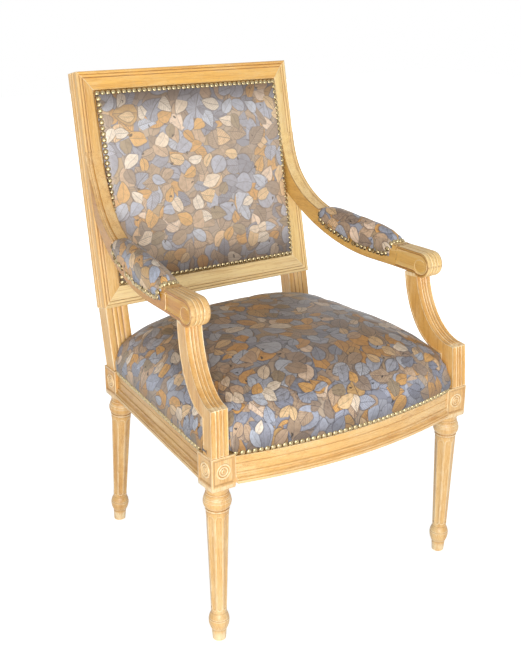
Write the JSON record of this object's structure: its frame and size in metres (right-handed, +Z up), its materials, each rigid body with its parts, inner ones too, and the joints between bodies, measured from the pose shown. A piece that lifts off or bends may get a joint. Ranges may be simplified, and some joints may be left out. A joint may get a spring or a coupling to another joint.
{
  "type": "upholstered open-arm chair",
  "caption": "Open-arm upholstered chair with a square moulded back, fluted turned legs and a crowned seat trimmed with nail heads, for sitting at a table or in a room.",
  "frame": {"origin": "on the floor, under the middle of the box round the chair", "axes": "+Z up, the chair faces -Y, and +X is at the right of someone who looks at its front"},
  "size_m": [0.5822, 0.636, 0.9497],
  "materials": {
    "pale_oak": "satin",
    "leaf_fabric": "satin",
    "jute_webbing": "matte",
    "black_cloth": "matte"
  },
  "bodies": {
    "root": {"front_leg_right": "pale_oak", "front_leg_left": "pale_oak", "rear_post_right": "pale_oak", "rear_post_left": "pale_oak", "front_seat_rail": "pale_oak", "side_seat_rail_right": "pale_oak", "side_seat_rail_left": "pale_oak", "rear_seat_rail": "pale_oak", "corner_block_front_right": "pale_oak", "corner_block_front_left": "pale_oak", "corner_block_rear_right": "pale_oak", "corner_block_rear_left": "pale_oak", "arm_right": "pale_oak", "arm_left": "pale_oak", "arm_support_right": "pale_oak", "arm_support_left": "pale_oak", "crest_rail": "pale_oak", "back_lower_rail": "pale_oak", "arm_pad_right": "leaf_fabric", "arm_pad_left": "leaf_fabric", "back_pad": "leaf_fabric", "outside_back_panel": "leaf_fabric", "seat_cushion": "leaf_fabric", "back_webbing_upright_1": "jute_webbing", "back_webbing_upright_2": "jute_webbing", "back_webbing_upright_3": "jute_webbing", "back_webbing_across_1": "jute_webbing", "back_webbing_across_2": "jute_webbing", "back_webbing_across_3": "jute_webbing", "seat_webbing_lengthwise_1": "jute_webbing", "seat_webbing_lengthwise_2": "jute_webbing", "seat_webbing_lengthwise_3": "jute_webbing", "seat_webbing_lengthwise_4": "jute_webbing", "seat_webbing_lengthwise_5": "jute_webbing", "seat_webbing_crosswise_1": "jute_webbing", "seat_webbing_crosswise_2": "jute_webbing", "seat_webbing_crosswise_3": "jute_webbing", "seat_webbing_crosswise_4": "jute_webbing", "dust_cover": "black_cloth"}
  },
  "joints": []
}
